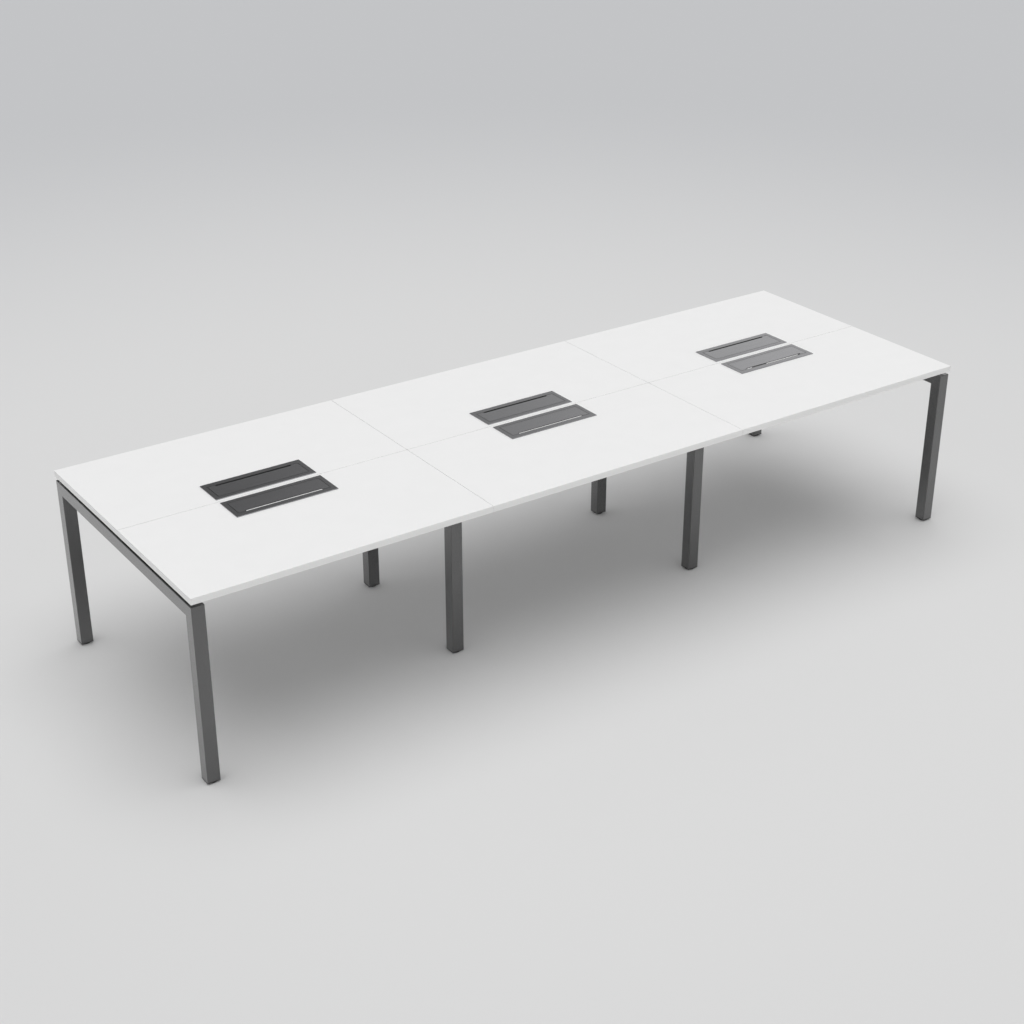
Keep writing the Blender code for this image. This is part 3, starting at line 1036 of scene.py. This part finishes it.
@dataclass
class BeamEnds:
    """Ends of the beams: hexagon bolts through their plates, and a weld round each tube."""

    plate: float = 4.0 * MM
    bolt_spread: float = 33.0 * MM
    head_flats: float = 10.0 * MM
    head_height: float = 4.0 * MM
    head_chamfer: float = 0.9 * MM
    dish_margin: float = 1.3 * MM
    dish_depth: float = 0.4 * MM
    washer_radius: float = 6.25 * MM
    washer_height: float = 1.6 * MM
    washer_round: float = 0.3 * MM
    sunk: float = 0.1 * MM
    round_sides: int = 48
    weld_corner: float = 3.0 * MM
    weld_radius: float = 1.6 * MM
    weld_segments: tuple[int, int] = (32, 10)
    # Half the bead's straight runs along Y and Z, and the cuts that its ripples need there
    weld_half: tuple[float, float] = (22.0 * MM, 12.0 * MM)
    ripple_cuts: tuple[int, int] = (12, 6)
    ripple: float = 0.25 * MM
    # Edges sharper than these many degrees stay sharp
    bolt_crease: float = 25.0
    weld_crease: float = 60.0

    def round_blank(self, radius: float, start: float, end: float, chamfer: float) -> Object:
        """Turn a disc along X with the rim of its outer face chamfered.

        Args:
            radius: radius of the disc.
            start: where the disc starts along X.
            end: where its outer face lies.
            chamfer: width of the chamfer.

        Returns:
            The disc.
        """
        disc = add_primitive(
            bpy.ops.mesh.primitive_cylinder_add,
            vertices=self.round_sides,
            radius=radius,
            depth=end - start,
            location=((start + end) / 2, 0.0, 0.0),
            rotation=(0.0, math.pi / 2, 0.0),
        )
        with editing(disc):
            select(disc, Element.EDGE, lambda edge: all(v.co.x > end - SNAP for v in edge.verts))
            bpy.ops.mesh.bevel(offset=chamfer, segments=1, affect="EDGES")
        return disc

    def bolt_pattern(self) -> Object:
        """Shape a hexagon prism into a chamfered, dished bolt head on its washer.

        Returns:
            The bolt, seated at the origin and looking along +X.
        """
        seat = self.washer_height - self.sunk
        top = self.washer_height + self.head_height
        corners = self.head_flats / math.sqrt(3)
        bolt = add_primitive(
            bpy.ops.mesh.primitive_cylinder_add,
            vertices=HEXAGON,
            radius=corners,
            depth=top - seat,
            location=((seat + top) / 2, 0.0, 0.0),
            rotation=(0.0, math.pi / 2, 0.0),
        )
        combine(bolt, "INTERSECT", self.round_blank(corners, 0.0, top, self.head_chamfer))
        with editing(bolt):
            select(bolt, Element.FACE, lambda face: face.calc_center_median().x > top - SNAP)
            bpy.ops.mesh.inset(thickness=self.dish_margin)
            bpy.ops.mesh.extrude_region_move(
                TRANSFORM_OT_translate={"value": (-self.dish_depth, 0.0, 0.0)}
            )
        washer = self.round_blank(
            self.washer_radius, -self.sunk, self.washer_height, self.washer_round
        )
        combine(bolt, "UNION", washer)
        tidy(bolt, self.bolt_crease)
        return bolt

    def weld_pattern(self) -> Object:
        """Pull a ring out to the tube's outline and ripple it as a weld bead.

        Returns:
            The bead, in the plane of Y and Z.
        """
        weld = add_primitive(
            bpy.ops.mesh.primitive_torus_add,
            major_radius=self.weld_corner,
            minor_radius=self.weld_radius,
            major_segments=self.weld_segments[0],
            minor_segments=self.weld_segments[1],
            rotation=(0.0, math.pi / 2, 0.0),
        )
        with editing(weld):
            for axis, pull in zip(Y_AND_Z, self.weld_half):
                for sign in (-1, 1):
                    select(weld, Element.VERTEX, lambda v: sign * v.co[axis] > SNAP)
                    shift = [0.0, 0.0, 0.0]
                    shift[axis] = sign * pull
                    bpy.ops.transform.translate(value=shift)
            for axis, half, cuts in zip(Y_AND_Z, self.weld_half, self.ripple_cuts):
                select(
                    weld,
                    Element.EDGE,
                    lambda edge: abs(edge.verts[0].co[axis] - edge.verts[1].co[axis]) > half / 2,
                )
                bpy.ops.mesh.subdivide(number_cuts=cuts)
            select(weld, Element.VERTEX, self.on_crest)
            bpy.ops.transform.shrink_fatten(value=self.ripple)
        tidy(weld, self.weld_crease)
        return weld

    def on_crest(self, vertex: BMVert) -> bool:
        """Say whether a vertex of the bead lies on a crest of its ripples."""
        place = abs(vertex.co.y), abs(vertex.co.z)
        for run, cuts in enumerate(self.ripple_cuts):
            side = 1 - run
            if place[side] > self.weld_half[side] and place[run] < self.weld_half[run]:
                step = self.weld_half[run] / (cuts + 1)
                return round(place[run] / step) % 2 == 1
        return False

    def build(self, bays: list[str], finishes: Finishes) -> list[str]:
        """Bolt and weld both ends of every beam.

        Args:
            bays: names of the places at the desk, by row and bay.
            finishes: materials by slot.

        Returns:
            Names of the new pieces.
        """
        bolt, weld = self.bolt_pattern(), self.weld_pattern()
        made = []
        for bay in bays:
            low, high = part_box(f"beam_{bay}")
            middle = (low + high) / 2
            ends = ((low.x + self.plate, 0.0), (high.x - self.plate, math.pi))
            welds = [(Vector((x, middle.y, middle.z)), turn) for x, turn in ends]
            bolts = [
                (place + Vector((0.0, side * self.bolt_spread, 0.0)), turn)
                for place, turn in welds
                for side in (-1, 1)
            ]
            piece = copies(bolt, f"beam_bolts_{bay}", bolts)
            made.append(carry(piece, "desk", Slot.BRIGHT, finishes))
            piece = copies(weld, f"beam_welds_{bay}", welds)
            made.append(carry(piece, "desk", Slot.STEEL, finishes))
        discard(bolt, weld)
        return made


@dataclass
class WorktopScrews:
    """Button-head screws under the rails, which hold the boards down on their strips."""

    head_radius: float = 5.0 * MM
    head_height: float = 3.0 * MM
    head_round: float = 2.4 * MM
    head_segments: int = 6
    key_flats: float = 3.0 * MM
    key_depth: float = 1.6 * MM
    sunk: float = 0.1 * MM
    sides: int = 48
    rail: float = 50.0 * MM
    # Along the rail from the desk's centre line, and across it from the rail's own centre line
    end_places: tuple[float, ...] = (-0.45, -0.15, 0.15, 0.45)
    mid_places: tuple[float, ...] = (-0.25, -0.10, 0.10, 0.25)
    mid_spread: float = 12.5 * MM

    def pattern(self) -> Object:
        """Round a disc into a button head and cut the key's hexagon in it.

        Returns:
            The screw's head, seated at the origin and looking down.
        """
        screw = add_primitive(
            bpy.ops.mesh.primitive_cylinder_add,
            vertices=self.sides,
            radius=self.head_radius,
            depth=self.head_height + self.sunk,
            location=(0.0, 0.0, (self.sunk - self.head_height) / 2),
        )
        with editing(screw):
            select(screw, Element.EDGE, lambda edge: all(v.co.z < 0.0 for v in edge.verts))
            bpy.ops.mesh.bevel(offset=self.head_round, segments=self.head_segments, affect="EDGES")
        key = add_primitive(
            bpy.ops.mesh.primitive_cylinder_add,
            vertices=HEXAGON,
            radius=self.key_flats / math.sqrt(3),
            depth=2 * self.key_depth,
            location=(0.0, 0.0, -self.head_height),
        )
        combine(screw, "DIFFERENCE", key)
        tidy(screw)
        return screw

    def build(self, frames: list[str], finishes: Finishes) -> list[str]:
        """Screw the boards to every frame.

        Args:
            frames: names of the frames.
            finishes: materials by slot.

        Returns:
            Names of the new pieces.
        """
        screw = self.pattern()
        made = []
        for frame in frames:
            low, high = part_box(f"frame_{frame}")
            x, z = (low.x + high.x) / 2, high.z - self.rail
            if frame.startswith("end"):
                spread, places = (0.0,), self.end_places
            else:
                spread, places = (-self.mid_spread, self.mid_spread), self.mid_places
            spots = [(Vector((x + aside, y, z)), 0.0) for y in places for aside in spread]
            piece = copies(screw, f"worktop_screws_{frame}", spots)
            made.append(carry(piece, "desk", Slot.BRIGHT, finishes))
        discard(screw)
        return made


@dataclass
class Studio:
    """Floor, light and camera."""

    floor_size: float = 160.0
    # Degrees that the softbox spans, and by which it stands behind the desk
    sun_angle: float = 70.0
    sun_lean: float = 2.0
    sun_strength: float = 0.955
    wall_glow: float = 1.06
    ceiling_glow: float = 0.28
    # Heights on a unit sphere between which the walls' glow fades
    glow_heights: tuple[float, float] = (0.3, 0.7)
    # The softbox's own face, which metal mirrors in the lamp's place
    panel_glow: float = 1.03
    panel_heights: tuple[float, float] = (0.78, 0.86)
    backdrop: str = "#C3C4C6"
    # Heights between which the backdrop gives way to the walls
    backdrop_height: tuple[float, float] = (0.10, 0.35)
    # Where the back wall grows dim, towards +Y and +Z on a unit sphere, and what is left there
    back_reach: tuple[float, float] = (0.545, 0.92)
    back_height: tuple[float, float] = (0.10, 0.30)
    back_top: tuple[float, float] = (0.55, 0.72)
    back_share: float = 0.03
    # Solved from the desk's corners in the photograph
    camera_place: tuple[float, float, float] = (-3.7109, -5.2097, 3.5167)
    camera_ahead: tuple[float, float, float] = (0.508722, 0.734712, -0.448777)
    lens_mm: float = 60.15
    sensor_mm: float = 36.0

    def build_floor(self) -> None:
        """Lay a floor that runs out of sight."""
        floor = add_primitive(
            bpy.ops.mesh.primitive_plane_add, size=self.floor_size, location=(0.0, 0.0, 0.0)
        )
        floor.name = "studio_floor"
        dress(floor, StudioFloor().material())

    def build_light(self) -> None:
        """Light the desk from a wide softbox overhead and from pale walls with a dim back."""
        lamp = bpy.data.lights.new("overhead_softbox", "SUN")
        lamp.energy = self.sun_strength
        lamp.angle = math.radians(self.sun_angle)
        holder = bpy.data.objects.new("overhead_softbox", lamp)
        holder.rotation_euler.x = -math.radians(self.sun_lean)
        holder.visible_glossy = False
        bpy.context.scene.collection.objects.link(holder)
        world = bpy.data.worlds.new("pale_room")
        bpy.context.scene.world = world
        world.use_nodes = True
        tree = world.node_tree
        tree.nodes.clear()
        ahead = add_node(tree, "TexCoord").outputs["Generated"]
        parts = add_node(tree, "SeparateXYZ", links={"Vector": ahead})
        fades = {}
        for name, axis, (near, far), first, last in (
            ("walls", "Z", self.glow_heights, self.wall_glow, self.ceiling_glow),
            ("panel", "Z", self.panel_heights, 0.0, self.panel_glow),
            ("back", "Y", self.back_reach, 0.0, 1.0),
            ("over_foot", "Z", self.back_height, 0.0, 1.0),
            ("under_top", "Z", self.back_top, 1.0, 0.0),
            ("over_backdrop", "Z", self.backdrop_height, 0.0, 1.0),
        ):
            limits = {"From Min": near, "From Max": far, "To Min": first, "To Max": last}
            fades[name] = add_node(
                tree,
                "MapRange",
                {"interpolation_type": "SMOOTHSTEP"} | limits,
                {"Value": parts.outputs[axis]},
            )
        dim = fades["back"]
        for name in ("over_foot", "under_top"):
            dim = add_node(tree, "Math", {"operation": "MULTIPLY"}, {0: dim, 1: fades[name]})
        share = add_node(
            tree, "MapRange", {"To Min": 1.0, "To Max": self.back_share}, {"Value": dim}
        )
        strength = add_node(
            tree,
            "Math",
            {"operation": "MULTIPLY_ADD"},
            {0: fades["walls"], 1: share, 2: fades["panel"]},
        )
        glow = add_node(tree, "Background", {"Color": (1.0, 1.0, 1.0, 1.0)}, {"Strength": strength})
        # What is seen and mirrored: the grey backdrop behind the floor, and the room above it
        view = add_node(
            tree,
            "Mix",
            {"data_type": "RGBA", 6: linear(self.backdrop)},
            {0: fades["over_backdrop"], 7: strength},
        )
        backdrop = add_node(tree, "Background", links={"Color": view})
        rays = add_node(tree, "LightPath")
        seen = rays.outputs["Is Camera Ray"]
        for kind in ("Is Glossy Ray", "Is Transmission Ray"):
            seen = add_node(
                tree, "Math", {"operation": "MAXIMUM"}, {0: seen, 1: rays.outputs[kind]}
            )
        shown = add_node(tree, "MixShader", links={0: seen, 1: glow, 2: backdrop})
        add_node(tree, "OutputWorld", links={"Surface": shown})

    def build_camera(self) -> None:
        """Stand the camera where the photograph was taken from."""
        data = bpy.data.cameras.new("camera")
        data.lens = self.lens_mm
        data.sensor_width = self.sensor_mm
        data.clip_end = 2 * self.floor_size
        camera = bpy.data.objects.new("camera", data)
        camera.location = self.camera_place
        camera.rotation_euler = Vector(self.camera_ahead).to_track_quat("-Z", "Y").to_euler()
        bpy.context.scene.collection.objects.link(camera)
        bpy.context.scene.camera = camera

    def build(self) -> None:
        """Build the stage and set how colours are shown."""
        self.build_floor()
        self.build_light()
        self.build_camera()
        bpy.context.scene.view_settings.view_transform = "Standard"


def main() -> None:
    """Load the frame, dress it, add the small pieces and set the stage."""
    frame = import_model()
    finishes = Finishes()
    finishes.build()
    by_slot = finishes.by_slot
    flaps = {
        "flap_bezel_": finishes.bezel,
        "flap_lid_": by_slot[Slot.ALUMINIUM],
        "hinge_pin_": by_slot[Slot.BRIGHT],
    }
    for parts in (
        CarriedParts("worktops", {"worktop_": by_slot[Slot.BOARD]}),
        CarriedParts("cable flaps", flaps),
        CarriedParts("frames", dict.fromkeys(("frame_", "beam_"), by_slot[Slot.STEEL])),
        CarriedParts(
            "strips and caps",
            dict.fromkeys(("spacer_strip_", "leg_cap_"), by_slot[Slot.PLASTIC]),
        ),
    ):
        for name in parts.dress(frame["nodes"]):
            log.info("%s: %s dressed", parts.title, name)
    legs = [f"{name}_{row}" for name in FRAMES for row in ROWS]
    bays = [f"{row}_{bay}" for row in ROWS for bay in BAYS]
    for name in (
        LevellingFeet().build(legs, finishes)
        + BeamEnds().build(bays, finishes)
        + WorktopScrews().build(list(FRAMES), finishes)
    ):
        log.info("%s built", name)
    Studio().build()


if __name__ == "__main__":
    logging.basicConfig(level=logging.INFO, format="%(message)s")
    main()
